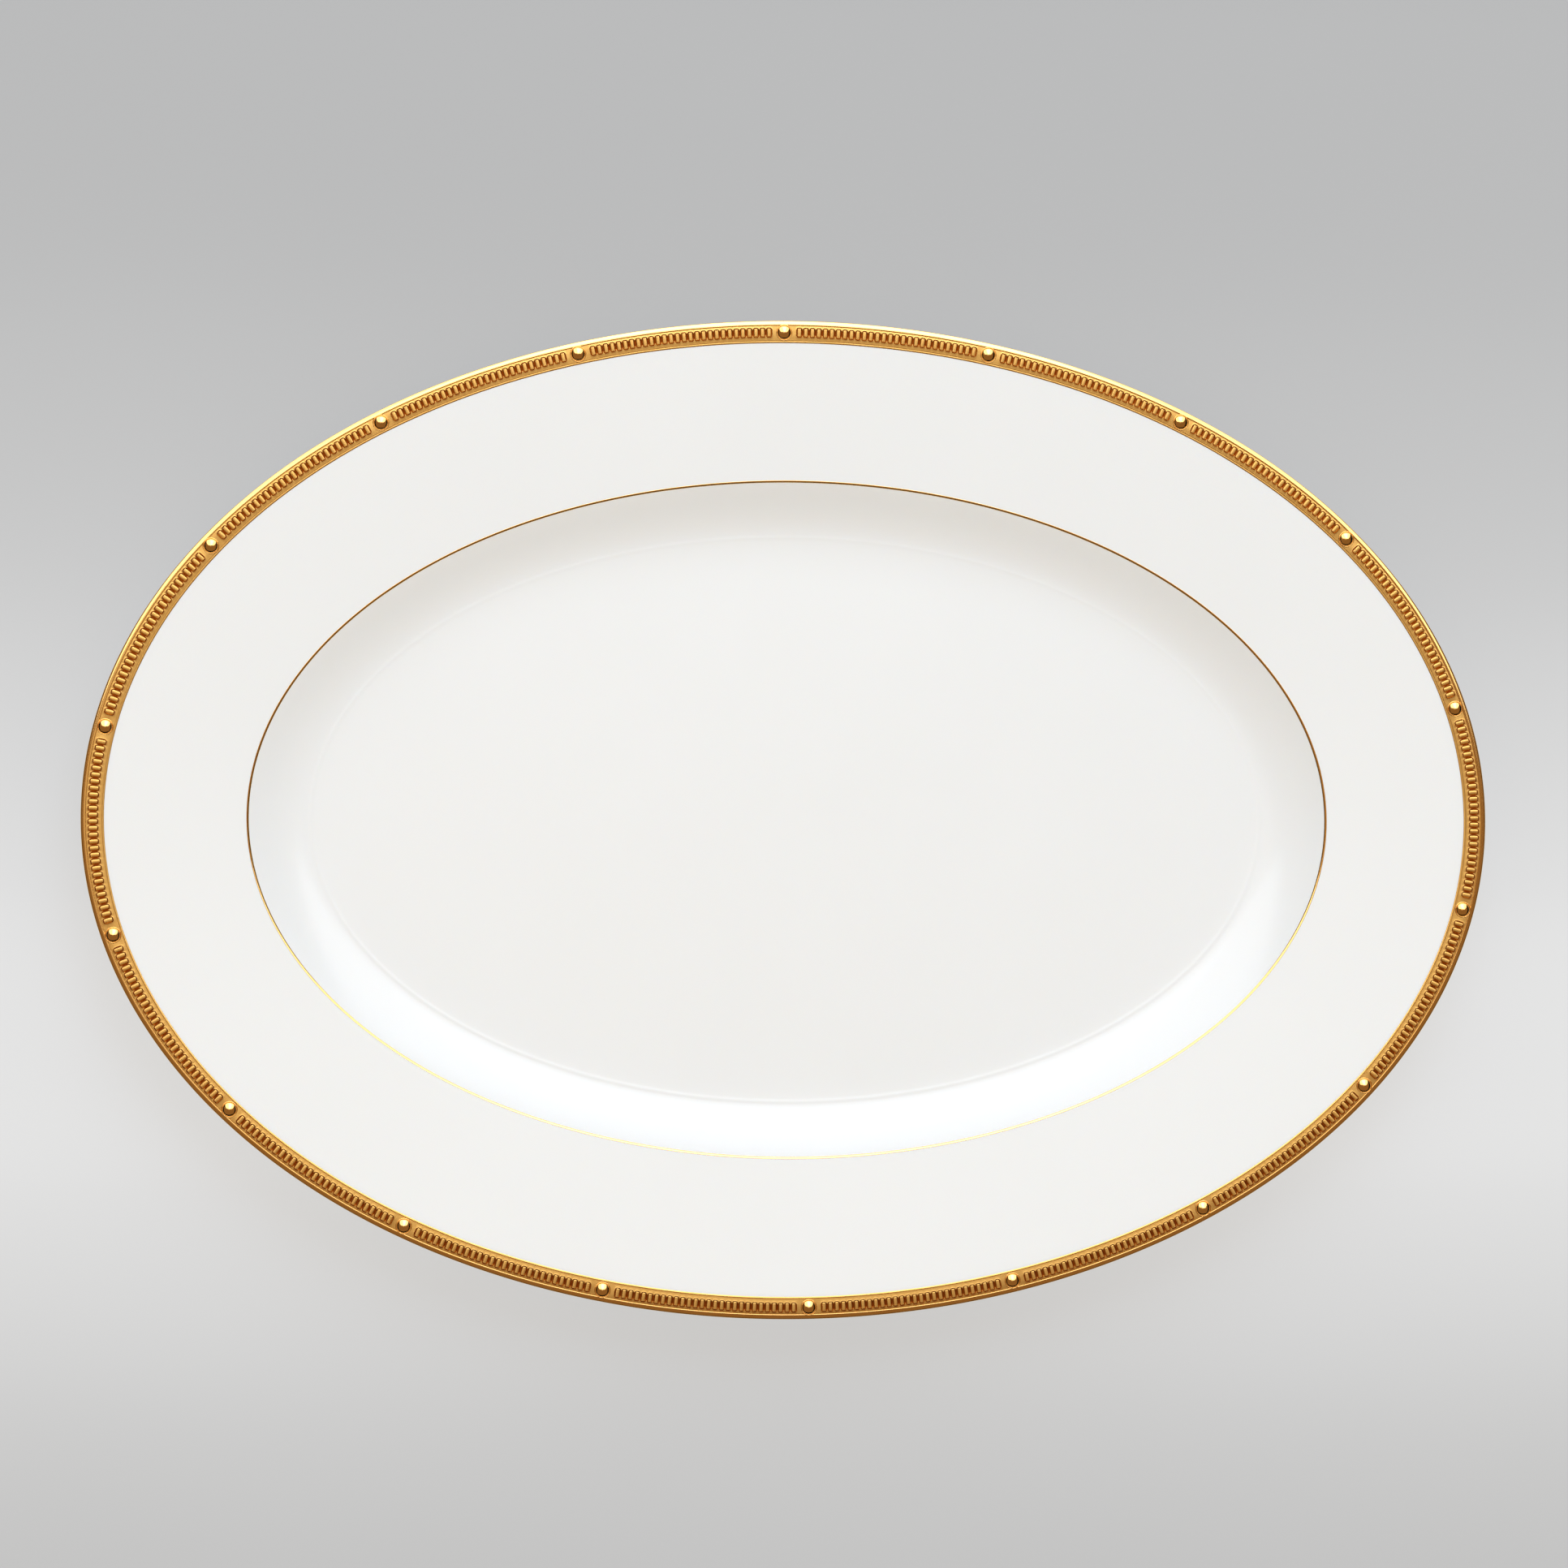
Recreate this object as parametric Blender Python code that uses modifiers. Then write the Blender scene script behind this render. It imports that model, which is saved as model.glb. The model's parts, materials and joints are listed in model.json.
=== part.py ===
"""Oval serving platter in white bone china with a gilded relief border.

The platter lies on its foot ring, +Z up, with its long side along X and the
origin at the bottom centre of the foot.  A place on it is given by its inset,
the distance along X from the outer edge, and its height.  A section at one
inset is a level oval, and the rim keeps nearly one width all the way round.
"""
import math

import bmesh
import bpy
import numpy as np
from mathutils import Matrix, Vector

MM = 0.001

# The platter's own size
LENGTH = 406.4 * MM
WIDTH = 287.3 * MM
HEIGHT = 24.5 * MM

# The well: a floor inside a curved wall, with the verge where wall meets rim
VERGE_LENGTH = 313.4 * MM
VERGE_WIDTH = 195.6 * MM
VERGE_HEIGHT = 18.0 * MM
FLOOR_LENGTH = 278.4 * MM
FLOOR_WIDTH = 164.8 * MM
FLOOR_HEIGHT = 7.0 * MM
WALL_EASE = 0.64
WALL_SHARES = (0.08, 0.2, 0.35, 0.52, 0.75, 1.0)

# The china's thickness, from the well out to the edge
WELL_THICKNESS = 3.9 * MM
EDGE_THICKNESS = 2.6 * MM

# The foot ring
FOOT_OUTER_INSET = 69.4 * MM
FOOT_WIDTH = 2.8 * MM
FOOT_HEIGHT = 2.4 * MM
FOOT_CHAMFER = 0.4 * MM

# The gilding, from the edge inwards; each piece keeps GAP to its neighbour
GAP = 0.3 * MM
LIP_WIDTH = 1.4 * MM
LIP_DEPTH = 3.0 * MM
LIP_PROUD = 0.45 * MM
BAND_INNER_INSET = 5.65 * MM
BAND_SUNK = 0.4 * MM
BORDER_INSET = 6.5 * MM
FILLET_PROUD = 0.1 * MM
GILT_THICKNESS = 0.4 * MM
VERGE_LINE_WIDTH = 0.7 * MM

# The relief: beads in equal bays, with a run of links in each bay
BEADS = 18
RELIEF_INSET = 3.45 * MM
BEAD_RADIUS = 2.1 * MM
BEAD_HEIGHT = 1.2 * MM
FIRST_BEAD = 0.2542
LINKS_PER_BAY = 28
LINK_PITCH = 1.89 * MM
LINK_LENGTH = 3.15 * MM
LINK_CREST = 0.35 * MM
LINK_VALLEY = 0.15 * MM

# How finely round shapes are divided
OVAL_SIDES = 96
LIP_SIDES = 8
BEAD_SIDES = 12
BEAD_RINGS = 4
ARC_SAMPLES = 7200

# Worked out from the sizes above
VERGE_INSET = (LENGTH - VERGE_LENGTH) / 2
FLOOR_INSET = (LENGTH - FLOOR_LENGTH) / 2
RIM_SLOPE = (HEIGHT - LIP_PROUD - VERGE_HEIGHT) / VERGE_INSET
BAND_OUTER_INSET = LIP_WIDTH + GAP
FILLET_OUTER_INSET = BAND_INNER_INSET + GAP
RELIEF_BASE = GAP - BAND_SUNK


# Heights and sections


def rim_height(inset):
    """Top of the rim, a shallow cone that rises from the verge to the edge."""
    return VERGE_HEIGHT + RIM_SLOPE * (VERGE_INSET - inset)


def wall_height(share):
    """Top of the well's wall, steep below the verge and shallow where it meets the floor."""
    drop = (1 - share) * (1 - WALL_EASE * share)
    return FLOOR_HEIGHT + (VERGE_HEIGHT - FLOOR_HEIGHT) * drop


def wall_line():
    """The wall's sections from below the verge to the floor, as (inset, height)."""
    width = FLOOR_INSET - VERGE_INSET
    return [(VERGE_INSET + share * width, wall_height(share)) for share in WALL_SHARES]


def underside_line():
    """The top line moved down along its own normal by the china's thickness."""
    rim = [(inset, rim_height(inset)) for inset in (4 * MM, 24 * MM, 42 * MM)]
    inset, height = np.array(rim + wall_line()).T
    slope = np.gradient(height, inset)
    share = np.clip(inset / VERGE_INSET, 0, 1)
    thickness = EDGE_THICKNESS + (WELL_THICKNESS - EDGE_THICKNESS) * share
    reach = thickness / np.sqrt(1 + slope**2)
    return list(zip(inset + slope * reach, height - reach))


def half_axes(inset):
    """Half the length and half the width of the oval at an inset.

    The half width runs straight between the three measured ovals, edge, verge
    and floor, and inside the floor it shrinks as fast as the half length.
    """
    steps = (0, VERGE_INSET, FLOOR_INSET, FLOOR_INSET + FLOOR_WIDTH / 2)
    half_width = np.interp(inset, steps, (WIDTH / 2, VERGE_WIDTH / 2, FLOOR_WIDTH / 2, 0))
    return LENGTH / 2 - inset, float(half_width)


def oval(inset, height):
    """A level ring of points at an inset."""
    angle = np.linspace(0, 2 * math.pi, OVAL_SIDES, endpoint=False)
    half_length, half_width = half_axes(inset)
    level = np.full(OVAL_SIDES, height)
    return np.stack([half_length * np.cos(angle), half_width * np.sin(angle), level], 1)


def strip(outer, inner, bottom, top):
    """The four sections of a flat gilt strip, heights counted from the rim's cone."""
    return [
        (outer, rim_height(outer) + bottom),
        (inner, rim_height(inner) + bottom),
        (inner, rim_height(inner) + top),
        (outer, rim_height(outer) + top),
    ]


# The relief line, on which beads and links stand


def relief_line():
    """Oval angles round the relief line, the share of its length at each, and that length."""
    angle = np.linspace(0, 2 * math.pi, ARC_SAMPLES + 1)
    half_length, half_width = half_axes(RELIEF_INSET)
    points = np.stack([half_length * np.cos(angle), half_width * np.sin(angle)], 1)
    steps = np.hypot(*np.diff(points, axis=0).T)
    travelled = np.concatenate([[0], np.cumsum(steps)])
    return angle, travelled / travelled[-1], travelled[-1]


LINE_ANGLE, LINE_SHARE, LINE_LENGTH = relief_line()


def relief_frame(share):
    """Matrix at a share of the relief line: X along it, Y inwards down the rim, Z out of the rim."""
    angle = np.interp(share % 1, LINE_SHARE, LINE_ANGLE)
    half_length, half_width = half_axes(RELIEF_INSET)
    x, y = half_length * math.cos(angle), half_width * math.sin(angle)
    place = Vector((x, y, rim_height(RELIEF_INSET)))
    tangent = Vector((-half_length * math.sin(angle), half_width * math.cos(angle), 0)).normalized()
    level_in = Vector((0, 0, 1)).cross(tangent)
    down_in = (level_in - RIM_SLOPE * Vector((0, 0, 1))).normalized()
    turn = Matrix((tangent, down_in, tangent.cross(down_in))).transposed().to_4x4()
    return Matrix.Translation(place) @ turn


# Making objects


def material(name, colour, metallic, roughness):
    """A Principled material."""
    made = bpy.data.materials.new(name)
    made.use_nodes = True
    shader = made.node_tree.nodes["Principled BSDF"]
    shader.inputs["Base Color"].default_value = (*colour, 1)
    shader.inputs["Metallic"].default_value = metallic
    shader.inputs["Roughness"].default_value = roughness
    return made


def add(name, mesh, collection, finish):
    """An object of the collection with its own material, smooth but for its sharp edges."""
    mesh.materials.clear()
    mesh.materials.append(material(name, *finish))
    made = bpy.data.objects.new(name, mesh)
    collection.objects.link(made)
    mesh.shade_smooth()
    mesh.set_sharp_from_angle(angle=math.radians(35))
    return made


def skin(name, rings, joined):
    """A closed mesh through rings of points: the last ring joins the first, or both are capped."""
    bm = bmesh.new()
    loops = [[bm.verts.new(point) for point in ring] for ring in rings]
    following = loops[1:] + loops[:1] if joined else loops[1:]
    for lower, upper in zip(loops, following):
        for i in range(len(lower)):
            bm.faces.new((lower[i - 1], lower[i], upper[i], upper[i - 1]))
    if not joined:
        bm.faces.new(loops[0])
        bm.faces.new(loops[-1])
    bmesh.ops.recalc_face_normals(bm, faces=bm.faces)
    mesh = bpy.data.meshes.new(name)
    bm.to_mesh(mesh)
    bm.free()
    return mesh


# The pieces


def china_body(collection):
    """The fired body: foot ring, underside, edge, rebate for the gilding, rim, wall and floor."""
    foot_inner = FOOT_OUTER_INSET + FOOT_WIDTH
    foot = [
        (foot_inner + FOOT_CHAMFER, FOOT_HEIGHT),
        (foot_inner + FOOT_CHAMFER, FOOT_CHAMFER),
        (foot_inner, 0),
        (FOOT_OUTER_INSET, 0),
        (FOOT_OUTER_INSET - FOOT_CHAMFER, FOOT_CHAMFER),
        (FOOT_OUTER_INSET - 2 * FOOT_CHAMFER, FLOOR_HEIGHT - WELL_THICKNESS),
    ]
    border = BORDER_INSET + GAP
    rebate = BAND_SUNK + GILT_THICKNESS + GAP
    edge = [
        (BAND_OUTER_INSET, rim_height(BAND_OUTER_INSET) - EDGE_THICKNESS),
        (BAND_OUTER_INSET, rim_height(BAND_OUTER_INSET) - rebate),
        (border, rim_height(border) - rebate),
        (border, rim_height(border)),
    ]
    outer = VERGE_INSET - VERGE_LINE_WIDTH / 2 - GAP
    inner = VERGE_INSET + VERGE_LINE_WIDTH / 2 + GAP
    line_bed = GILT_THICKNESS + GAP
    groove = [
        (outer, rim_height(outer)),
        (outer, rim_height(outer) - line_bed),
        (inner, rim_height(inner) - line_bed),
    ]
    sections = foot + underside_line()[::-1] + edge + groove + wall_line()
    rings = [oval(inset, height) for inset, height in sections]
    china = ((0.88, 0.86, 0.83), 0.0, 0.12)
    add("china_body", skin("china_body", rings, joined=False), collection, china)


def gilt_rings(collection, burnished, matt):
    """The four gilt pieces that run all the way round."""
    turn = np.linspace(0, 2 * math.pi, LIP_SIDES, endpoint=False)
    lip = [
        (LIP_WIDTH / 2 * (1 - math.cos(t)), HEIGHT - LIP_DEPTH / 2 * (1 - math.sin(t)))
        for t in turn
    ]
    band_bottom = -BAND_SUNK - GILT_THICKNESS
    verge_outer = VERGE_INSET - VERGE_LINE_WIDTH / 2
    verge_inner = VERGE_INSET + VERGE_LINE_WIDTH / 2
    pieces = {
        "gilt_lip": (lip, burnished),
        "relief_band": (strip(BAND_OUTER_INSET, BAND_INNER_INSET, band_bottom, -BAND_SUNK), matt),
        "inner_fillet": (strip(FILLET_OUTER_INSET, BORDER_INSET, band_bottom, FILLET_PROUD), burnished),
        "verge_line": (strip(verge_outer, verge_inner, -GILT_THICKNESS, 0), burnished),
    }
    for name, (sections, finish) in pieces.items():
        rings = [oval(inset, height) for inset, height in sections]
        add(name, skin(name, rings, joined=True), collection, finish)


def beads(collection, burnished):
    """Domed beads, each a turned profile standing square to the rim."""
    angles = [math.pi / 2 * i / BEAD_RINGS for i in range(BEAD_RINGS + 1)]
    dome = [(BEAD_RADIUS * math.sin(a), 0, BEAD_HEIGHT * math.cos(a)) for a in angles]
    profile = dome + [(0, 0, 0)]
    edges = [(i, i + 1) for i in range(len(profile) - 1)]
    for number in range(BEADS):
        name = f"bead_{number + 1:02d}"
        mesh = bpy.data.meshes.new(name)
        mesh.from_pydata(profile, edges, [])
        bead = add(name, mesh, collection, burnished)
        turned = bead.modifiers.new("turned", "SCREW")
        turned.steps = turned.render_steps = BEAD_SIDES
        turned.use_merge_vertices = True
        turned.merge_threshold = 0.00001
        turned.use_smooth_shade = True
        place = relief_frame(FIRST_BEAD + number / BEADS) @ Matrix.Translation((0, 0, RELIEF_BASE))
        bead.location = place.to_translation()
        bead.rotation_euler = place.to_euler()


def link_runs(collection, matt):
    """One ridged strip of links in each bay: a crest on each link and a valley between two."""
    half = LINK_LENGTH / 2
    for number in range(BEADS):
        middle = FIRST_BEAD + (number + 0.5) / BEADS
        sections = []
        for step in range(2 * LINKS_PER_BAY + 1):
            offset = (step / 2 - LINKS_PER_BAY / 2) * LINK_PITCH
            top = RELIEF_BASE + (LINK_CREST if step % 2 else LINK_VALLEY)
            place = relief_frame(middle + offset / LINE_LENGTH)
            corners = [(-half, RELIEF_BASE), (half, RELIEF_BASE), (half, top), (-half, top)]
            sections.append([place @ Vector((0, y, z)) for y, z in corners])
        name = f"link_run_{number + 1:02d}"
        add(name, skin(name, sections, joined=False), collection, matt)


def main():
    for old in list(bpy.data.objects):
        bpy.data.objects.remove(old, do_unlink=True)
    platter = bpy.data.collections.new("serving_platter")
    bpy.context.scene.collection.children.link(platter)
    burnished = ((0.86, 0.62, 0.26), 1.0, 0.14)
    matt = ((0.80, 0.53, 0.20), 1.0, 0.36)
    china_body(platter)
    gilt_rings(platter, burnished, matt)
    beads(platter, burnished)
    link_runs(platter, matt)


main()
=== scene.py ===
# %% [markdown]
# # An oval serving platter in gilded bone china
#
# The platter lies on its foot ring, +Z up, with its long side along X. It is
# white glazed china with a gold border: a burnished lip on the edge, a satin
# band with beads and small links in relief, a rounded fillet inside the band,
# and one thin gold line round the well.
#
# Everything is an oval, so everything here is one idea: a short profile carried
# round ovals that get smaller towards the middle. A place on the platter is
# given by its *inset*, the distance along X from the outer edge.

# %% Load the frame
import json
import math

import bpy
import numpy as np
from mathutils import Matrix, Vector

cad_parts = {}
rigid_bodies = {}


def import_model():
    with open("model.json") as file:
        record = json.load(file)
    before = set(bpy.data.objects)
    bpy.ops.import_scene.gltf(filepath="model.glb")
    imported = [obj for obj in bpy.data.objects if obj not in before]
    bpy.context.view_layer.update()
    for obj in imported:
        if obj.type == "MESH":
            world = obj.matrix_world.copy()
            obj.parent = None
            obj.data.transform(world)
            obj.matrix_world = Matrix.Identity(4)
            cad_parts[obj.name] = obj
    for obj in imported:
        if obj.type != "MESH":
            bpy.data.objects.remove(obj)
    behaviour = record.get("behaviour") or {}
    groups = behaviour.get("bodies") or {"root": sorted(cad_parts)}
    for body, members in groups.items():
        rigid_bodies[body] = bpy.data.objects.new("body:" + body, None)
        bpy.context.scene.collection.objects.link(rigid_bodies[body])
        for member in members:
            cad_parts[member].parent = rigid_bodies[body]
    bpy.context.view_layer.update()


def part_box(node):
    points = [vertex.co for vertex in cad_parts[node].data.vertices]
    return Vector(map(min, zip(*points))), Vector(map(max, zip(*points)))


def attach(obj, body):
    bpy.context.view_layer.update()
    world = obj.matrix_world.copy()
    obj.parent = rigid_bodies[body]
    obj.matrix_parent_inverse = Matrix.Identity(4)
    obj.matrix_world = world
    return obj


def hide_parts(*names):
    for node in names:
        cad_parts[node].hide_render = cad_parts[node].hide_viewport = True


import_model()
MM = 0.001

# %% [markdown]
# ## Sizes
#
# The outline, the verge and the slope of the rim come from the boxes of the CAD
# pieces, so the shapes below land where the CAD has them. The floor of the well,
# the underside and the small details have sizes of their own.

# %% Ovals and heights that the CAD gives
lip_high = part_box("gilt_lip")[1]
line_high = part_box("verge_line")[1]
fillet_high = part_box("inner_fillet")[1]
LINE_WIDTH = 0.7 * MM
HALF_LENGTH, HALF_WIDTH = lip_high.x, lip_high.y
SQUEEZE = (HALF_WIDTH - line_high.y) / (HALF_LENGTH - line_high.x)
VERGE_INSET = HALF_LENGTH - line_high.x + LINE_WIDTH / 2
FILLET_PROUD = 0.1 * MM
RIM_SLOPE = (fillet_high.z - FILLET_PROUD - line_high.z) / (fillet_high.x - line_high.x)
VERGE_HEIGHT = line_high.z - RIM_SLOPE * LINE_WIDTH / 2
FLOOR_HALF_LENGTH, FLOOR_HALF_WIDTH = 139.2 * MM, 82.4 * MM
FLOOR_HEIGHT = 7.0 * MM
FLOOR_INSET = HALF_LENGTH - FLOOR_HALF_LENGTH
print("verge inset %.2f mm, height %.2f mm" % (VERGE_INSET / MM, VERGE_HEIGHT / MM))
print("rim slope %.3f, width lost per inset %.3f" % (RIM_SLOPE, SQUEEZE))

# %% The oval at an inset
OVAL_STEPS = (0, VERGE_INSET, FLOOR_INSET, FLOOR_INSET + FLOOR_HALF_WIDTH)
OVAL_WIDTHS = (HALF_WIDTH, HALF_WIDTH - SQUEEZE * VERGE_INSET, FLOOR_HALF_WIDTH, 0)


def half_axes(inset):
    """Half length = the platter's less the inset; half width is straight between the measured ovals."""
    inset = np.asarray(inset, float)
    return HALF_LENGTH - inset, np.interp(inset, OVAL_STEPS, OVAL_WIDTHS)


print("verge oval, mm:", np.round(np.array(half_axes(VERGE_INSET)) * 2 / MM, 1))

# %% [markdown]
# ## The top line of the china
#
# The rim is a straight cone that rolls over in the last few millimetres, under
# the border, so its outer part tips away from the middle. Light from one side
# then shades the border across its width. The wall falls steeply from the verge
# and eases into the floor. A soft minimum of the two lines rounds the verge as
# glaze does, without a hard corner.

# %% Rim, wall and the rounded verge between them
BORDER_INSET = 6.5 * MM
CREST_INSET = 1.6 * MM
WALL_EASE = 0.64
FOOT_SOFTNESS = 0.60 * MM
VERGE_SOFTNESS = 0.10 * MM


def rim_top(inset):
    """Cone less a parabola: the slope is the rim's at the border and nil at the crest."""
    cone = VERGE_HEIGHT + RIM_SLOPE * (VERGE_INSET - inset)
    roll = np.maximum(BORDER_INSET - inset, 0) ** 2 / (2 * (BORDER_INSET - CREST_INSET))
    return cone - RIM_SLOPE * roll


def wall_top(inset):
    """Floor + depth x (1 - u) x (1 - ease x u), u from 0 at the verge to 1 at the floor; straight outside.

    A soft maximum with the floor, k log(1 + exp(wall / k)), eases the wall's foot into it.
    """
    depth, width = VERGE_HEIGHT - FLOOR_HEIGHT, FLOOR_INSET - VERGE_INSET
    u = (inset - VERGE_INSET) / width
    inside = np.clip(u, 0, 1)
    curve = (1 - inside) * (1 - WALL_EASE * inside)
    beyond = (1 + WALL_EASE) * np.maximum(-u, 0) + (1 - WALL_EASE) * np.minimum(1 - u, 0)
    wall = depth * (curve + beyond)
    return FLOOR_HEIGHT + FOOT_SOFTNESS * np.logaddexp(0, wall / FOOT_SOFTNESS)


def china_top(inset):
    """Soft minimum of rim and wall: -k log(exp(-rim / k) + exp(-wall / k))."""
    inset = np.asarray(inset, float)
    rim, wall = rim_top(inset), wall_top(inset)
    low = np.minimum(rim, wall)
    gap = np.abs(rim - wall)
    return low - VERGE_SOFTNESS * np.log1p(np.exp(-gap / VERGE_SOFTNESS))


print("crest %.2f mm, verge %.2f mm" % (rim_top(CREST_INSET) / MM, china_top(VERGE_INSET) / MM))

# %% [markdown]
# ## One way to make every piece
#
# Each piece is a grid of points: rows along one direction, and columns that
# close into a loop. The rows either close too, which makes a ring, or end in a
# fan of triangles round a middle point. The grid is worked out as whole numpy
# arrays, and the UV map is in metres along and across the piece, so that a
# pattern can follow it at its real scale. A solid whose faces point inwards has
# a negative volume, so that is measured and put right.

# %% Grid of points to closed mesh


def solid(name, points, material, ring=False, uv=None, depth=None, sharp=60):
    """Faces join each point to the next row and column; the volume's sign says which way they face."""
    rows, cols = points.shape[:2]
    r, c = np.meshgrid(np.arange(rows if ring else rows - 1), np.arange(cols), indexing="ij")
    corner_r = np.stack([r, r, r + 1, r + 1], -1).reshape(-1, 4)
    corner_c = np.stack([c, c + 1, c + 1, c], -1).reshape(-1, 4)
    quads = (corner_r % rows) * cols + corner_c % cols
    verts = points.reshape(-1, 3)
    fans = np.zeros((0, 3), int)
    if not ring:
        verts = np.concatenate([verts, points[0].mean(0)[None], points[-1].mean(0)[None]])
        k = np.arange(cols)
        first = np.stack([np.full(cols, rows * cols), (k + 1) % cols, k], -1)
        last = (rows - 1) * cols
        final = np.stack([np.full(cols, rows * cols + 1), last + k, last + (k + 1) % cols], -1)
        fans = np.concatenate([first, final])
    a, b, d = (verts[quads[:, i]] for i in (0, 1, 3))
    e = verts[quads[:, 2]]
    volume = np.einsum("ij,ij->", a, np.cross(b, e)) + np.einsum("ij,ij->", a, np.cross(e, d))
    turned = volume < 0
    if turned:
        quads, fans = quads[:, ::-1], fans[:, ::-1]
        corner_r, corner_c = corner_r[:, ::-1], corner_c[:, ::-1]
    mesh = bpy.data.meshes.new(name)
    corners = np.concatenate([quads.ravel(), fans.ravel()])
    sizes = np.concatenate([np.full(len(quads), 4), np.full(len(fans), 3)])
    mesh.vertices.add(len(verts))
    mesh.vertices.foreach_set("co", verts.ravel())
    mesh.loops.add(len(corners))
    mesh.loops.foreach_set("vertex_index", corners)
    mesh.polygons.add(len(sizes))
    mesh.polygons.foreach_set("loop_start", np.concatenate([[0], np.cumsum(sizes)[:-1]]))
    mesh.update(calc_edges=True)
    if uv is not None:
        along, across = uv
        flat = np.zeros((len(corners), 2))
        flat[: quads.size, 0] = along[corner_r.ravel(), corner_c.ravel()]
        flat[: quads.size, 1] = across[corner_r.ravel(), corner_c.ravel()]
        mesh.uv_layers.new(name="stroke").data.foreach_set("uv", flat.ravel())
    # The depth attribute sets the painted shade that the satin gold puts in its slots.
    if depth is not None:
        values = np.zeros(len(verts))
        values[: depth.size] = depth.ravel()
        mesh.attributes.new("depth", "FLOAT", "POINT").data.foreach_set("value", values)
    mesh.materials.append(material)
    mesh.shade_smooth()
    mesh.set_sharp_from_angle(angle=math.radians(sharp))
    made = bpy.data.objects.new(name, mesh)
    bpy.context.scene.collection.objects.link(made)
    return made


def triangles(piece):
    """Number of triangles in a piece."""
    return sum(len(p.vertices) - 2 for p in piece.data.polygons)


# %% [markdown]
# ## A ring on the platter
#
# A ring is a closed profile of insets and heights, carried round its ovals. Its
# UV map runs round the platter in U and round the profile in V.

# %% Profile to ring


def turn(columns):
    """Oval angles, one for each column."""
    return np.linspace(0, 2 * math.pi, columns, endpoint=False)


def carried(inset, height, columns):
    """Points a cos t, b sin t, z for each (inset, height) of the profile and each angle t."""
    t = turn(columns)[None, :]
    a, b = half_axes(inset)
    x, y = a[:, None] * np.cos(t), b[:, None] * np.sin(t)
    z = np.broadcast_to(np.asarray(height)[:, None], x.shape)
    return np.stack([x, y, z], -1)


def ring_uv(points):
    """Distance round the oval and round the profile, with one extra row and column to close them."""
    closed = np.concatenate([points, points[:1]], 0)
    closed = np.concatenate([closed, closed[:, :1]], 1)
    along = np.linalg.norm(np.diff(closed, axis=1), axis=-1).mean(0)
    across = np.linalg.norm(np.diff(closed, axis=0), axis=-1).mean(1)
    u = np.concatenate([[0], np.cumsum(along)])
    v = np.concatenate([[0], np.cumsum(across)])
    return np.broadcast_to(u, (len(v), len(u))), np.broadcast_to(v[:, None], (len(v), len(u)))


# %% [markdown]
# ## Materials
#
# Colours are written as sRGB hex, as a colour picker shows them, and one
# function turns them to the linear values that shading needs. One other function
# adds a node with its settings and its links, and one blends two colours with it.

# %% Helpers for materials


def linear(code):
    """sRGB hex to linear: c / 12.92 below 0.04045, else ((c + 0.055) / 1.055)^2.4."""
    srgb = np.array([int(code[i : i + 2], 16) / 255 for i in (1, 3, 5)])
    low, high = srgb / 12.92, ((srgb + 0.055) / 1.055) ** 2.4
    return (*np.where(srgb <= 0.04045, low, high), 1.0)


def node(tree, kind, settings=None, **inputs):
    """Adds a node; settings are its own properties, and inputs are values or sockets to link."""
    made = tree.nodes.new(kind)
    for key, value in (settings or {}).items():
        setattr(made, key, value)
    for key, value in inputs.items():
        name = key.replace("_", " ")
        socket = made.inputs[int(key[1:])] if key[1:].isdigit() else made.inputs[name]
        if isinstance(value, bpy.types.NodeSocket):
            tree.links.new(value, socket)
        else:
            socket.default_value = value
    return made


def blend(tree, share, first, second):
    """Colour that goes from the first to the second as share goes from 0 to 1."""
    return node(tree, "ShaderNodeMix", {"data_type": "RGBA"}, i0=share, i6=first, i7=second).outputs[2]


def finish(name):
    """A new material, its node tree and its Principled shader."""
    made = bpy.data.materials.new(name)
    made.use_nodes = True
    return made, made.node_tree, made.node_tree.nodes["Principled BSDF"]


# %% [markdown]
# ### Glazed bone china
#
# Bone china is a dense warm white body under a clear, very smooth glaze. The eye
# gets three things from it: soft light that sinks a little into the body, a
# clean reflection in the glaze, and a faint swing in that reflection, because
# fired glaze is never quite flat. The foot ring's flat is ground free of glaze,
# so it stays matt and a little darker.

# %% China material
china, tree, shader = finish("bone_china_glazed")
place = node(tree, "ShaderNodeTexCoord").outputs["Object"]
height = node(tree, "ShaderNodeSeparateXYZ", Vector=place).outputs["Z"]
bare = node(tree, "ShaderNodeMapRange", Value=height, From_Min=0.30 * MM, From_Max=0.12 * MM)
bare = bare.outputs["Result"]
cloud = node(tree, "ShaderNodeTexNoise", Vector=place, Scale=1 / 0.045, Detail=2.0).outputs["Fac"]
white = blend(tree, cloud, linear("#f6f5f3"), linear("#f8f7f5"))
tint = blend(tree, bare, white, linear("#dcd5ca"))
tree.links.new(tint, shader.inputs["Base Color"])
smear = node(tree, "ShaderNodeTexNoise", Vector=place, Scale=1 / 0.020, Detail=3.0).outputs["Fac"]
gloss = node(tree, "ShaderNodeMapRange", Value=smear, To_Min=0.18, To_Max=0.24).outputs["Result"]
rough = node(tree, "ShaderNodeMix", i0=bare, i2=gloss, i3=0.62).outputs[0]
tree.links.new(rough, shader.inputs["Roughness"])
ripple = node(tree, "ShaderNodeTexNoise", Vector=place, Scale=1 / 0.014, Detail=1.0).outputs["Fac"]
grit = node(tree, "ShaderNodeTexNoise", Vector=place, Scale=1 / 0.00025, Detail=1.0).outputs["Fac"]
waves = node(tree, "ShaderNodeBump", Height=ripple, Distance=0.02 * MM, Strength=0.6)
grain = node(tree, "ShaderNodeMath", {"operation": "MULTIPLY"}, i0=grit, i1=bare).outputs[0]
ground = node(tree, "ShaderNodeBump", Height=grain, Distance=0.05 * MM, Normal=waves.outputs[0])
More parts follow.
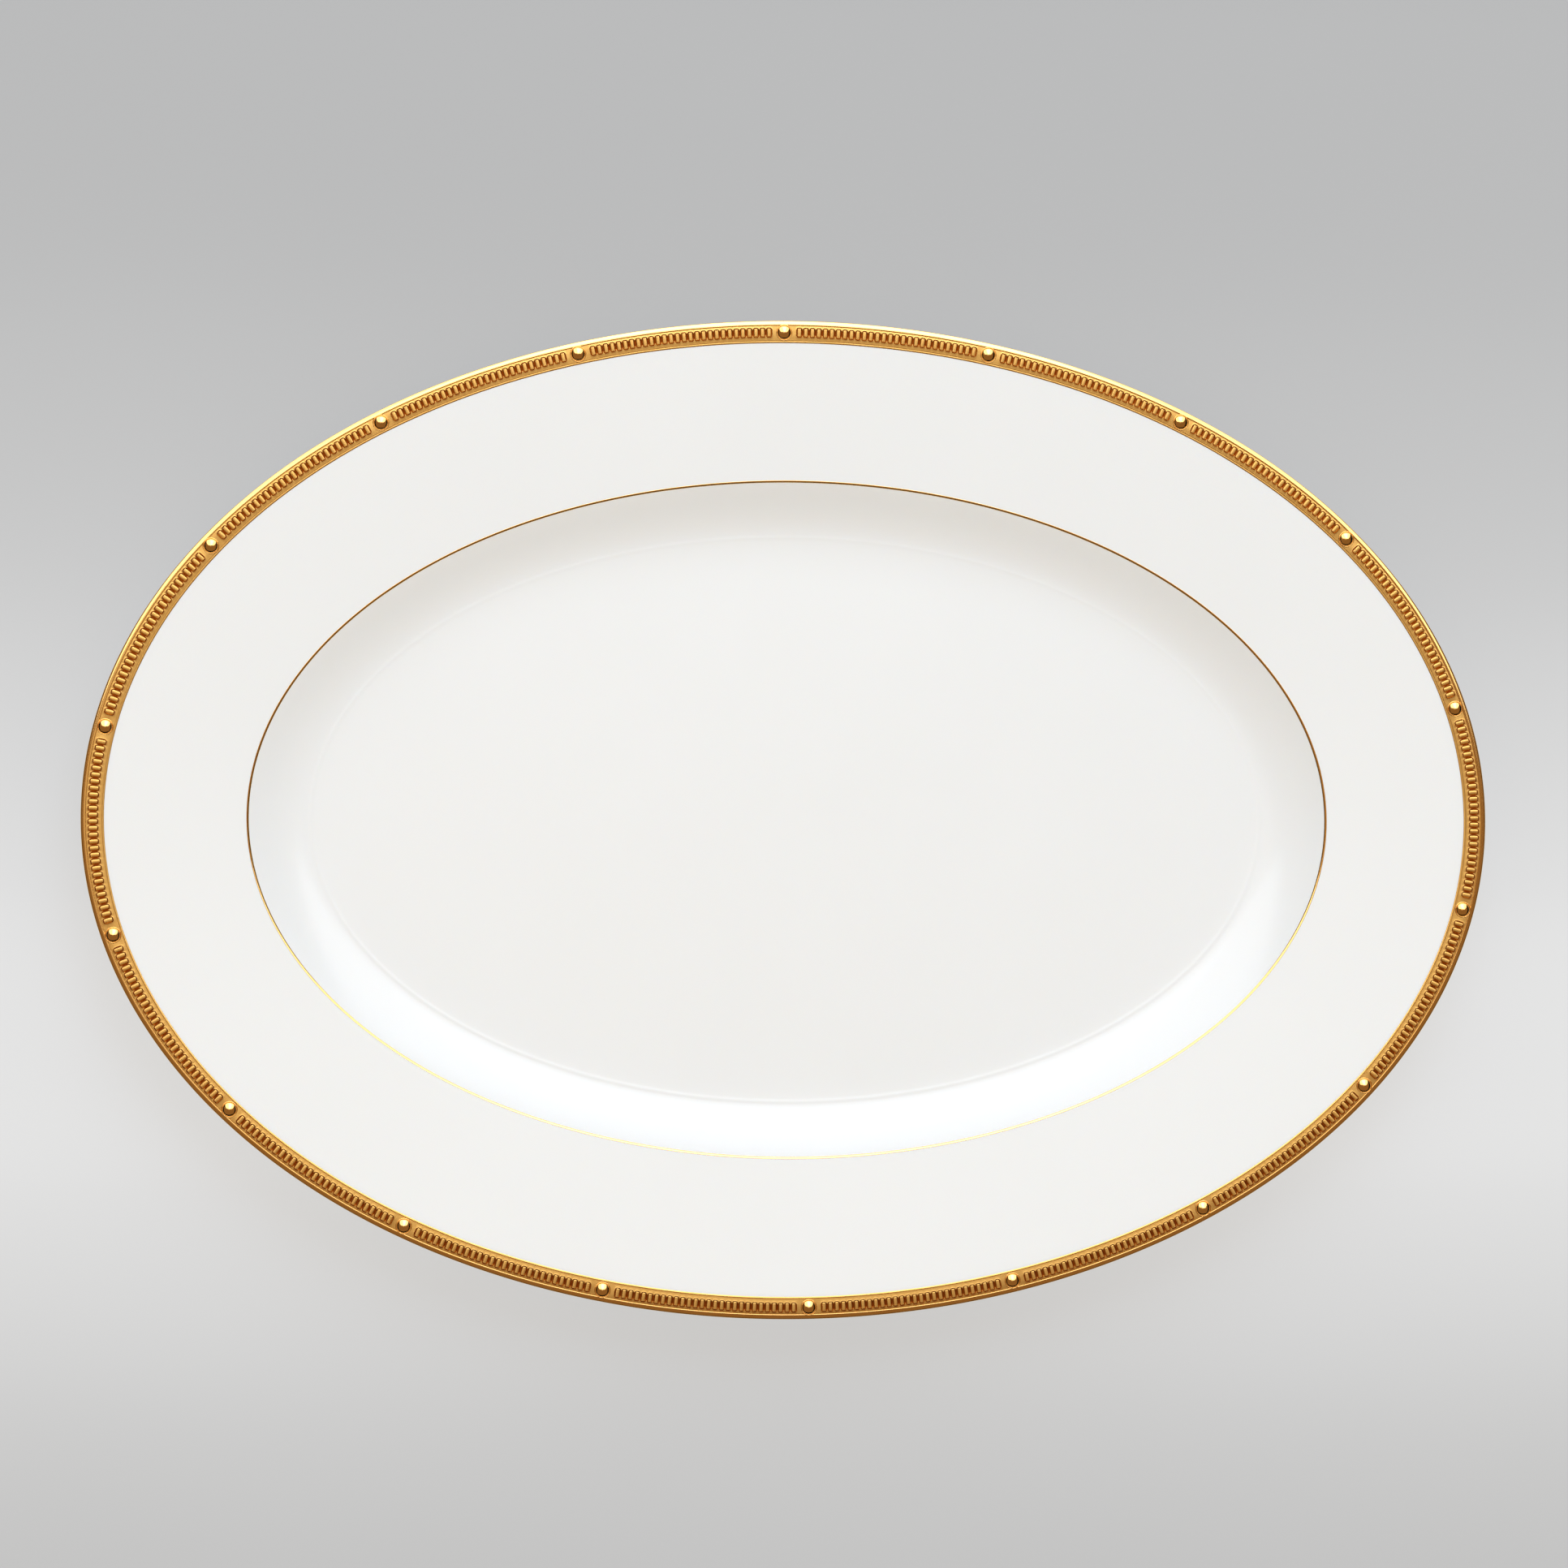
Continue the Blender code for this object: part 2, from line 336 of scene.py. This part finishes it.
tree.links.new(ground.outputs[0], shader.inputs["Normal"])
shader.inputs["IOR"].default_value = 1.52
shader.inputs["Subsurface Weight"].default_value = 0.12
shader.inputs["Subsurface Radius"].default_value = (1.0, 0.8, 0.6)
shader.inputs["Subsurface Scale"].default_value = 0.003

# %% [markdown]
# ### Burnished gold
#
# Bright gold is painted on the glaze, fired, and rubbed with agate until it
# shines. The rubbing goes along the edge and leaves fine strokes, which stretch
# each highlight a little. The strokes are really far finer than a tenth of a
# millimetre, and are drawn coarser here so that they show.

# %% Burnished gold material
burnished, tree, shader = finish("gold_burnished")
stroke = node(tree, "ShaderNodeUVMap", {"uv_map": "stroke"}).outputs[0]
long = node(tree, "ShaderNodeMapping", Vector=stroke, Scale=(1 / 0.006, 1 / 0.00018, 1))
streak = node(tree, "ShaderNodeTexNoise", Vector=long.outputs[0], Scale=1.0, Detail=3.0)
streak = streak.outputs["Fac"]
wide = node(tree, "ShaderNodeMapping", Vector=stroke, Scale=(1 / 0.012, 1 / 0.002, 1))
wear = node(tree, "ShaderNodeTexNoise", Vector=wide.outputs[0], Scale=1.0, Detail=2.0).outputs["Fac"]
tint = blend(tree, wear, linear("#fac673"), linear("#f8cb80"))
tree.links.new(tint, shader.inputs["Base Color"])
gloss = node(tree, "ShaderNodeMapRange", Value=streak, To_Min=0.10, To_Max=0.20).outputs["Result"]
tree.links.new(gloss, shader.inputs["Roughness"])
rubbed = node(tree, "ShaderNodeBump", Height=streak, Distance=0.004 * MM, Strength=0.5)
tree.links.new(rubbed.outputs[0], shader.inputs["Normal"])
shader.inputs["Metallic"].default_value = 1.0

# %% [markdown]
# ### Satin relief gold
#
# The border's ground was etched before it was gilded, so its gold keeps a fine
# even grain and a soft sheen. Polishing only reaches the high places. In the
# slots the colour is painted a deep brown: painted shade, which stands in for the
# shade and the gold-on-gold reflections down there. The relief's depth is kept in
# an attribute, and sets how much of this painted shade the colour gets. The grain
# is really finer, and is drawn about 0.4 mm coarse so that it shows.

# %% Satin gold material
satin, tree, shader = finish("gold_satin_relief")
place = node(tree, "ShaderNodeTexCoord").outputs["Object"]
depth = node(tree, "ShaderNodeAttribute", {"attribute_name": "depth"}).outputs["Fac"]
speck = node(tree, "ShaderNodeTexNoise", Vector=place, Scale=1 / 0.0004, Detail=2.0).outputs["Fac"]
cloud = node(tree, "ShaderNodeTexNoise", Vector=place, Scale=1 / 0.006, Detail=2.0).outputs["Fac"]
tint = blend(tree, cloud, linear("#dfac5a"), linear("#e5b668"))
# Painted shade: the deeper the relief, the nearer the colour goes to dark brown.
slot_shade_colour = blend(tree, depth, tint, linear("#a85f1c"))
tree.links.new(slot_shade_colour, shader.inputs["Base Color"])
gloss = node(tree, "ShaderNodeMapRange", Value=speck, To_Min=0.32, To_Max=0.44).outputs["Result"]
tree.links.new(gloss, shader.inputs["Roughness"])
etched = node(tree, "ShaderNodeBump", Height=speck, Distance=0.01 * MM, Strength=0.5)
tree.links.new(etched.outputs[0], shader.inputs["Normal"])
shader.inputs["Metallic"].default_value = 1.0

# %% [markdown]
# ## The china body
#
# The body is one lofted shell. It could be a subdivided cage, but the profile is
# known as a formula, so every row is simply computed. Rows crowd together where
# the line bends: at the crease round the floor, where the glaze gathers in a
# ridge about as high as a hair is thick and catches a line of light, at the
# verge, and round the foot ring.

# %% Top rows, from the middle of the floor to the border
CREASE_HEIGHT, CREASE_WIDTH = 0.07 * MM, 0.55 * MM


def floor_top(inset):
    """The top line, with a ridge at the crease: height x exp(-(distance / width)^2)."""
    near = np.exp(-(((inset - FLOOR_INSET) / CREASE_WIDTH) ** 2))
    return china_top(inset) + CREASE_HEIGHT * near


crease = np.array([12, 8, 5, 3.2, 2.2, 1.6, 1.2, 0.9, 0.6, 0.3, 0, -0.3, -0.6, -0.9, -1.2, -1.6]) * MM
crease_insets = FLOOR_INSET + crease
wall_insets = np.linspace(FLOOR_INSET - 2.1 * MM, VERGE_INSET + 1.4 * MM, 24)
verge_insets = VERGE_INSET + np.array([1.0, 0.7, 0.45, 0.25, 0, -0.25, -0.45, -0.7, -1.0, -1.5]) * MM
rim_insets = np.linspace(VERGE_INSET - 3 * MM, 7.4 * MM, 18)
top_insets = np.concatenate([crease_insets, wall_insets, verge_insets, rim_insets])
top_heights = floor_top(top_insets)
inner_a, inner_b = half_axes(top_insets[0])
share = np.linspace(0.03, 0.97, 16)
middle = np.stack([share * inner_a, share * inner_b, np.full(len(share), FLOOR_HEIGHT)])
top = np.stack([*half_axes(top_insets), top_heights])

# %% Rows under the gilding, round the edge and back along the underside
EDGE_THICKNESS, WELL_THICKNESS = 2.6 * MM, 3.9 * MM
bed_insets = np.array([6.75, 6.45, 6.3, 1.9, 1.2, 0.8, 0.8, 1.1, 1.7]) * MM
bed_drops = np.array([0, 0.02, 0.5, 0.8, 0.8, 1.1, 2.0, 2.4, 2.56]) * MM
bed = np.stack([*half_axes(bed_insets), rim_top(bed_insets) - bed_drops])


def underside(inset):
    """The top line moved along its own normal by the china's thickness, which grows inwards."""
    height = china_top(inset)
    slope = np.gradient(height, inset)
    thick = EDGE_THICKNESS + (WELL_THICKNESS - EDGE_THICKNESS) * np.clip(inset / VERGE_INSET, 0, 1)
    reach = thick / np.sqrt(1 + slope**2)
    return inset + slope * reach, height - reach


back_top = np.concatenate([np.linspace(3, 44, 18), np.linspace(45, 63.9, 28)]) * MM
back_insets, back_heights = underside(back_top)
back = np.stack([*half_axes(back_insets), back_heights])

# %% The foot ring, with a bare flat where it was ground
FOOT_OUTER, RECESS = 69.4 * MM, 2.4 * MM
foot_profile = [
    (-3.0, 3.1), (-2.2, 3.0), (-1.6, 2.75), (-1.2, 2.3), (-0.95, 1.7), (-0.8, 1.1), (-0.66, 0.6),
    (-0.48, 0.25), (-0.25, 0.06), (0, 0), (1.4, 0), (2.8, 0), (3.05, 0.06), (3.28, 0.25),
    (3.46, 0.6), (3.6, 1.1), (3.75, 1.6), (4.0, 2.0), (4.4, 2.27), (5.0, 2.38), (5.8, 2.4),
]
foot_insets, foot_heights = np.array(foot_profile).T * MM
foot = np.stack([*half_axes(FOOT_OUTER + foot_insets), foot_heights])
shrink = np.linspace(0.97, 0.03, 12)
RECESS_DOME = 0.25 * MM
dome = RECESS_DOME * (1 - shrink**2)
centre = np.stack([shrink * foot[0, -1], shrink * foot[1, -1], RECESS + dome])

# %% Build the body
rows = np.concatenate([middle, top, bed, back, foot, centre], axis=1)
BODY_COLUMNS = 480
t = turn(BODY_COLUMNS)
half_long, half_wide, level = rows[:, :, None]
level = np.broadcast_to(level, (rows.shape[1], BODY_COLUMNS))
loft = np.stack([half_long * np.cos(t), half_wide * np.sin(t), level], -1)
body = solid("glazed_body", loft, china)
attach(body, "root")
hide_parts("china_body")
print("body:", loft.shape[0], "rows,", triangles(body), "triangles")

# %% [markdown]
# ## The four gold rings
#
# The lip is a rounded roll on the very edge. Its crest sits on its inner side,
# and from there it falls away outwards, so nearly its whole width faces the same
# way and takes one long highlight. Then it wraps round the edge and ends
# underneath, in a rebate. The etched ground shows only in two narrow grooves. The
# fillet is a low round that ends on the china, in satin gold. The line at the
# verge is almost flat, and as thick as a coat of paint.

# %% Burnished lip
RING_COLUMNS = 720
LIP_CREST_INSET, LIP_RISE, LIP_FALL = 1.30 * MM, 0.14 * MM, 0.50 * MM
lip_crest = rim_top(LIP_CREST_INSET) + LIP_RISE
LIP_UNDER_INSET, LIP_WRAP = 1.2 * MM, 2.62 * MM
lip_under = rim_top(LIP_UNDER_INSET) - LIP_WRAP
SHOULDER_WIDE, SHOULDER_DEEP = 0.14 * MM, 0.18 * MM
bend = np.radians(np.linspace(0, 90, 6))
shoulder_i = LIP_CREST_INSET + SHOULDER_WIDE * np.cos(bend)
shoulder_z = lip_crest - SHOULDER_DEEP * (1 - np.sin(bend))
fall = np.radians(np.linspace(90, 0, 14)[1:])
fall_i = LIP_CREST_INSET * (1 - np.cos(fall))
fall_z = lip_crest - LIP_FALL + LIP_FALL * np.sin(fall)
wrap = np.radians(np.linspace(0, 90, 9)[1:])
wrap_i = LIP_CREST_INSET * (1 - np.cos(wrap))
wrap_z = lip_crest - LIP_FALL - (lip_crest - LIP_FALL - lip_under) * np.sin(wrap)
close_i = np.array([1.7, 1.75, 1.46]) * MM
close_z = np.array([lip_under + 0.02 * MM, lip_under + 0.5 * MM, lip_crest - 0.9 * MM])
lip_points = carried(
    np.concatenate([shoulder_i, fall_i, wrap_i, close_i]),
    np.concatenate([shoulder_z, fall_z, wrap_z, close_z]),
    RING_COLUMNS,
)
lip = solid("burnished_lip", lip_points, burnished, ring=True, uv=ring_uv(lip_points))
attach(lip, "root")
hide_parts("gilt_lip")
print("lip crest %.2f mm, %d triangles" % (lip_crest / MM, triangles(lip)))

# %% Etched ground, inner fillet and verge line


def gold_ring(name, profile, material, node_name):
    """Closed profile of (inset, height above the rim) in millimetres, as a ring on the rim."""
    inset, rise = np.array(profile).T * MM
    points = carried(inset, china_top(inset) + rise, RING_COLUMNS)
    made = solid(name, points, material, ring=True, uv=ring_uv(points))
    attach(made, "root")
    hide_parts(node_name)
    print(name, triangles(made), "triangles")
    return made


ground_profile = [
    (1.35, -0.75), (1.35, -0.15), (1.64, -0.15), (1.74, -0.42),
    (5.66, -0.42), (5.76, -0.15), (6.02, -0.15), (6.02, -0.75),
]
gold_ring("etched_ground", ground_profile, satin, "relief_band")
fillet_profile = [
    (5.96, -0.4), (5.96, -0.05), (5.99, 0.03), (6.05, 0.07), (6.13, 0.085), (6.22, 0.08),
    (6.31, 0.067), (6.39, 0.05), (6.46, 0.028), (6.51, -0.005), (6.53, -0.08), (6.5, -0.4),
]
gold_ring("rounded_fillet", fillet_profile, satin, "inner_fillet")
middle_line = VERGE_INSET / MM
line_profile = [
    (middle_line + offset, rise)
    for offset, rise in (
        (-0.35, -0.02), (-0.32, 0.008), (-0.22, 0.02), (0.0, 0.024), (0.22, 0.02),
        (0.32, 0.008), (0.35, -0.02), (0.25, -0.06), (-0.25, -0.06),
    )
]
gold_ring("verge_gold_line", line_profile, burnished, "verge_line")

# %% [markdown]
# ## The relief line
#
# Beads and links stand on one oval, and their spacing is counted along it. An
# ellipse has no simple formula for its length, so the line is measured in many
# short steps, and a table gives the angle for any distance. The beads' places
# are the middles of the CAD beads.

# %% Measure the relief line
RELIEF_INSET = 3.45 * MM
BEADS, LINKS = 18, 28
PITCH = 1.89 * MM
line_a, line_b = (float(v) for v in half_axes(RELIEF_INSET))
line_angle = np.linspace(0, 2 * math.pi, 20001)
line_xy = np.stack([line_a * np.cos(line_angle), line_b * np.sin(line_angle)], -1)
line_run = np.concatenate([[0], np.cumsum(np.linalg.norm(np.diff(line_xy, axis=0), axis=1))])
LINE_LENGTH = line_run[-1]
bead_boxes = [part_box("bead_%02d" % (k + 1)) for k in range(BEADS)]
bead_xy = np.array([[(low.x + high.x) / 2, (low.y + high.y) / 2] for low, high in bead_boxes])
bead_angle = np.arctan2(bead_xy[:, 1] / line_b, bead_xy[:, 0] / line_a) % (2 * math.pi)
bead_at = np.interp(bead_angle, line_angle, line_run)
bead_at = np.where(bead_at < bead_at[0] - 1e-6, bead_at + LINE_LENGTH, bead_at)
BAY = LINE_LENGTH / BEADS
print("relief line %.1f mm, bay %.2f mm" % (LINE_LENGTH / MM, BAY / MM))
print("bay lengths, mm:", np.round(np.diff(bead_at) / MM, 2))

# %% Place a point by its distance along the line and its distance inwards


def on_border(run, inward, rise):
    """Line point + inward normal x distance, at the rim's height there + rise.

    The rim's ovals lie a little closer together at the corners than at the ends, so
    the distance inwards is scaled by how far apart they are at that angle.
    """
    angle = np.interp(run % LINE_LENGTH, line_run, line_angle)
    cos, sin = np.cos(angle), np.sin(angle)
    size = np.hypot(line_b * cos, line_a * sin)
    normal_x, normal_y = -line_b * cos / size, -line_a * sin / size
    closeness = -(normal_x * cos + SQUEEZE * normal_y * sin)
    x = line_a * cos + normal_x * inward * closeness
    y = line_b * sin + normal_y * inward * closeness
    return np.stack([x, y, rim_top(RELIEF_INSET + inward) + rise], -1)


# %% [markdown]
# ## Links
#
# Between two beads stands a row of 28 links. Each is a flat-topped bar in a
# stadium-shaped hollow, and only a thin web is left between one hollow and the
# next. Hundreds of them are needed, so each gets only some two hundred faces, and
# they have to sit where the shape bends. Near a link's round ends the rows of the grid
# therefore bend too, and follow the arcs.

# %% Height of the relief around one link
FIELD = 0.05 * MM  # how far the ground between the links stands above the rim
HALF_LINK, HALF_OUTLINE = 1.575 * MM, 0.935 * MM
STRAIGHT = HALF_LINK - HALF_OUTLINE
BAR_HALF = 0.44 * MM
HOLLOW, BAR_PROUD = 0.30 * MM, 0.05 * MM
SHOULDER, SHOULDER_WIDTH = 0.035 * MM, 0.16 * MM
WALL_WIDTH, FLANK_WIDTH = 0.12 * MM, 0.13 * MM
BAR_END = HALF_OUTLINE - 0.29 * MM
WEB_DIP, WEB_SHARE = 0.10 * MM, 0.10
WEB_END, WEB_FADE = 1.0 * MM, 0.5 * MM


def smooth(x):
    """3 x^2 - 2 x^3 between 0 and 1."""
    x = np.clip(x, 0, 1)
    return x * x * (3 - 2 * x)


def link_height(x, t):
    """Shoulder outside the outline; inside it a drop to the hollow, and a bar that rises from it.

    r is the distance from the link's straight spine, so r = HALF_OUTLINE is the
    stadium. The bar ends at |x| = BAR_HALF on its sides and at r = BAR_END on its ends.
    """
    r = np.hypot(x, np.maximum(np.abs(t) - STRAIGHT, 0))
    inside = HALF_OUTLINE - r
    edge = SHOULDER * np.exp(-((np.minimum(inside, 0) / SHOULDER_WIDTH) ** 2))
    drop = smooth(inside / WALL_WIDTH)
    bar = smooth(1 + np.minimum(BAR_HALF - np.abs(x), BAR_END - r) / FLANK_WIDTH)
    return edge * (1 - drop) - HOLLOW * drop + (HOLLOW + BAR_PROUD) * bar


# %% Grid of one run: stations along it and rows across it
ARC_ROWS = np.array([0.57, 0.655, 0.74, 0.80, 0.865, 0.935]) * MM
FIELD_ROWS = np.array([0.12, 0.4, 1.0])
OUTER_EDGE, INNER_EDGE = 1.80 * MM, 2.30 * MM
LINK_STATIONS = np.array([-0.5, -0.455, -0.42, -0.335, -0.245, -0.2, 0.2, 0.245, 0.335, 0.42, 0.455])


def across(x, edge):
    """Rows from a link's middle to an edge: arcs about the round end, then a blend to the edge."""
    r = ARC_ROWS[:, None]
    bend = np.minimum(np.abs(x), HALF_OUTLINE * 0.995)[None, :]
    arcs = STRAIGHT + np.sqrt(np.maximum(r**2 - bend**2, 0)) - 0.6 * np.maximum(bend - r, 0)
    s = FIELD_ROWS[:, None]
    return np.concatenate([arcs, arcs[-1:] * (1 - s) + edge * s])


first_link = (LINKS - 1) / 2 * PITCH
link_middles = (np.arange(LINKS) - (LINKS - 1) / 2) * PITCH
inner_stations = (link_middles[:, None] + LINK_STATIONS[None, :] * PITCH).ravel()
tail = np.array([0.5, 0.56, 0.66]) * PITCH
stations = np.concatenate(
    [[-BAY / 2], -first_link - tail[::-1][:2], inner_stations, first_link + tail, [BAY / 2]]
)
nearest = np.clip(np.round(stations / PITCH + (LINKS - 1) / 2), 0, LINKS - 1)
local = stations - (nearest - (LINKS - 1) / 2) * PITCH
outer_rows, inner_rows = -across(local, OUTER_EDGE)[::-1], across(local, INNER_EDGE)
row_t = np.concatenate([outer_rows, inner_rows]).T
row_x = np.broadcast_to(local[:, None], row_t.shape)
relief = link_height(row_x, row_t)
between = (np.abs(stations) < first_link + 0.4 * PITCH)[:, None]
web = np.exp(-(((np.abs(row_x) - PITCH / 2) / (WEB_SHARE * PITCH)) ** 2))
web = web * smooth((WEB_END - np.abs(row_t)) / WEB_FADE)
relief = relief - WEB_DIP * web * between
# How deep each point lies in its hollow, 0 to 1; the satin gold paints shade from it.
hollow = np.clip(-relief / HOLLOW, 0, 1)
print("one run:", row_t.shape[0], "stations,", row_t.shape[1], "rows")

# %% Close the section under the relief and build the runs
UNDER, TUCK = -0.40 * MM, 0.03 * MM
under_t = np.array([INNER_EDGE - TUCK, 0, TUCK - OUTER_EDGE])
n = len(stations)
under_shape = (n, len(under_t))
all_t = np.concatenate([row_t, np.broadcast_to(under_t, under_shape)], 1)
all_h = np.concatenate([relief + FIELD, np.full(under_shape, UNDER)], 1)
all_painted_shade = np.concatenate([hollow, np.ones(under_shape)], 1)
steps = np.abs(np.diff(np.concatenate([all_t, all_t[:, :1]], 1), axis=1))
run_v = np.concatenate([np.zeros((n, 1)), np.cumsum(steps, 1)], 1)
run_u = np.broadcast_to(stations[:, None], run_v.shape)
count = 0
for k in range(BEADS):
    middle_run = bead_at[k] + BAY / 2
    points = on_border(middle_run + stations[:, None] + 0 * all_t, all_t, all_h)
    run = solid("link_row_%02d" % (k + 1), points, satin, uv=(run_u, run_v), depth=all_painted_shade)
    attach(run, "root")
    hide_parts("link_run_%02d" % (k + 1))
    count += triangles(run)
print("links:", BEADS * LINKS, "in", BEADS, "runs,", count, "triangles")

# %% [markdown]
# ## Beads
#
# A bead is a turned shape: a dome that is nearly a cone with a soft top, a narrow
# groove round it, and a thin raised collar. Light from one side fills one half of
# such a dome and leaves the other half dark, with a small glint on the top.

# %% Bead profile
DOME_RADIUS, DOME_HEIGHT = 2.00 * MM, 1.05 * MM
DOME_POINT, DOME_FULL = 1.35, 1.5
COLLAR = [
    (2.04, -0.06), (2.08, 0.02), (2.14, 0.10), (2.20, 0.125),
    (2.26, 0.10), (2.32, 0.03), (2.37, -0.10), (2.2, -0.3),
]
BEAD_COLUMNS = 40
STEP = 0.1 * MM
dome_r = DOME_RADIUS * np.sin(np.radians(np.linspace(4, 90, 15)))
dome_z = DOME_HEIGHT * (1 - (dome_r / DOME_RADIUS) ** DOME_POINT) ** (1 / DOME_FULL)
collar_r, collar_z = np.array(COLLAR).T * MM
bead_r = np.concatenate([dome_r, collar_r])
bead_z = np.concatenate([dome_z, collar_z]) + FIELD
print("bead profile:", len(bead_r), "points")

# %% Stand the beads on the relief line
a = turn(BEAD_COLUMNS)
v = np.concatenate([[0], np.cumsum(np.hypot(np.diff(bead_r), np.diff(bead_z)))])
u = np.append(a, 2 * math.pi) * DOME_RADIUS
uv = np.broadcast_arrays(u[None, :], v[:, None])
for k in range(BEADS):
    origin = on_border(bead_at[k], 0.0, 0.0)
    ahead = on_border(bead_at[k] + STEP, 0.0, 0.0) - origin
    inward = on_border(bead_at[k], STEP, 0.0) - origin
    ahead /= np.linalg.norm(ahead)
    up = np.cross(ahead, inward)
    up /= np.linalg.norm(up)
    inward = np.cross(up, ahead)
    r, z = bead_r[:, None, None], bead_z[:, None, None]
    spread = np.cos(a)[None, :, None] * ahead + np.sin(a)[None, :, None] * inward
    points = origin + r * spread + z * up
    bead = solid("domed_bead_%02d" % (k + 1), points, burnished, uv=uv)
    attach(bead, "root")
    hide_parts("bead_%02d" % (k + 1))
print("beads:", BEADS, "of", triangles(bead), "triangles")

# %% [markdown]
# ## Floor
#
# A plain pale grey sweep, matt, with a very faint mottle so that it isn't one
# flat colour. Its grey is painted light: lightest just in front of the platter and
# darker both ways along Y. It also glows with part of its own tone, painted light
# that keeps the shadow faint.

# %% Floor
paper, tree, shader = finish("matt_grey_paper")
place = node(tree, "ShaderNodeTexCoord").outputs["Object"]
along = node(tree, "ShaderNodeSeparateXYZ", Vector=place).outputs["Y"]
ramp = node(tree, "ShaderNodeValToRGB")
SWEEP = 0.26  # metres each way that the ramp of greys covers
position = node(tree, "ShaderNodeMapRange", Value=along, From_Min=-SWEEP, From_Max=SWEEP)
tree.links.new(position.outputs["Result"], ramp.inputs[0])
# Painted light: the share of its own tone that the floor glows with.
GLOW = 0.6
# Painted light: greys of the sweep, lightest near the middle and darker both ways along Y.
painted_light_tones = [(0.07, "#c3c3c3"), (0.18, "#d0d0d0"), (0.29, "#e0e0e0"), (0.36, "#e4e4e4"),
         (0.46, "#e0e0e0"), (0.62, "#cccccc"), (0.79, "#bbbbbb"), (0.96, "#b6b6b6")]
while len(ramp.color_ramp.elements) < len(painted_light_tones):
    ramp.color_ramp.elements.new(0.5)
for element, (where, tone) in zip(ramp.color_ramp.elements, painted_light_tones):
    element.position = where
    element.color = linear(tone)
ramp.color_ramp.interpolation = "CARDINAL"
mottle = node(tree, "ShaderNodeTexNoise", Vector=place, Scale=1 / 0.12, Detail=3.0).outputs["Fac"]
shade = node(tree, "ShaderNodeMapRange", Value=mottle, To_Min=0.99, To_Max=1.01).outputs["Result"]
tone = node(tree, "ShaderNodeVectorMath", {"operation": "SCALE"}, i0=ramp.outputs[0], Scale=shade)
dull = node(tree, "ShaderNodeVectorMath", {"operation": "SCALE"}, i0=tone.outputs[0], Scale=1 - GLOW)
tree.links.new(dull.outputs[0], shader.inputs["Base Color"])
tree.links.new(tone.outputs[0], shader.inputs["Emission Color"])
shader.inputs["Emission Strength"].default_value = GLOW
shader.inputs["Roughness"].default_value = 0.9
FLOOR_SIZE = 8
bpy.ops.mesh.primitive_plane_add(size=FLOOR_SIZE)
floor = bpy.context.object
floor.name = "studio_floor"
floor.data.materials.append(paper)

# %% [markdown]
# ## Light
#
# Glossy gold and matt china need different light to look right together, so the
# lights are split. A tall key beyond the platter's far side, a small overhead box
# and a wide dim warm one show only in reflections, and give the gold its bright
# and its brown sides. The white surroundings light only matt surfaces and never
# show in a reflection. One smaller cool box on the key's side does both, and
# shades the well.

# %% Lights
AREA_FACTOR = math.pi


def softbox(name, azimuth, zenith, distance, width, height, radiance, colour):
    """Rectangle that faces the platter from a direction; power = radiance x area x pi."""
    light = bpy.data.lights.new(name, "AREA")
    light.shape = "RECTANGLE"
    light.size, light.size_y = width, height
    light.energy = radiance * width * height * AREA_FACTOR
    light.color = linear(colour)[:3]
    made = bpy.data.objects.new(name, light)
    a, z = math.radians(azimuth), math.radians(zenith)
    away = Vector((math.cos(a) * math.sin(z), math.sin(a) * math.sin(z), math.cos(z)))
    made.location = away * distance
    made.rotation_euler = away.to_track_quat("Z", "Y").to_euler()
    made.visible_camera = False
    bpy.context.scene.collection.objects.link(made)
    return made


key = softbox("key_tall", 88, 49, 1.6, 3.4, 2.5, 2.2, "#f2f8ff")
key.visible_diffuse = False
softbox("key_soft", 84, 46, 1.6, 1.0, 1.4, 2.3, "#c7e2ff")
overhead = softbox("overhead_small", 150, 9, 1.6, 0.9, 0.9, 0.38, "#fff4e0")
overhead.visible_diffuse = False
room = softbox("overhead_room", 90, 0, 2.0, 8.0, 8.0, 0.26, "#ffcc98")
room.visible_diffuse = False
world = bpy.data.worlds.new("white_tent")
bpy.context.scene.world = world
world.use_nodes = True
world.node_tree.nodes["Background"].inputs["Color"].default_value = (1.0, 0.955, 0.885, 1.0)
world.node_tree.nodes["Background"].inputs["Strength"].default_value = 0.82
world.cycles_visibility.glossy = False

# %% [markdown]
# ## Camera
#
# The camera looks nearly straight down, from a little to the left, with a long
# lens about a metre away.

# %% Camera
LENS_DISTANCE, LENS_YAW, LENS_PITCH, LENS_ROLL = 1.072, 5.83, -0.24, -0.39
LENS_SIDE, LENS_UP = 3.56 * MM, -10.32 * MM
EDGE_PLANE = 23.0 * MM
turned = (
    Matrix.Rotation(math.radians(LENS_ROLL), 3, "Z")
    @ Matrix.Rotation(math.radians(LENS_PITCH), 3, "X")
    @ Matrix.Rotation(math.radians(LENS_YAW), 3, "Y")
).transposed()
camera_data = bpy.data.cameras.new("camera")
camera_data.lens = 85.5
camera_data.sensor_width = 36
camera = bpy.data.objects.new("camera", camera_data)
bpy.context.scene.collection.objects.link(camera)
camera.rotation_euler = turned.to_euler()
camera.location = turned @ Vector((-LENS_SIDE, -LENS_UP, LENS_DISTANCE)) + Vector((0, 0, EDGE_PLANE))
bpy.context.scene.camera = camera
bpy.context.scene.view_settings.view_transform = "Standard"
print("camera at", [round(v, 4) for v in camera.location])
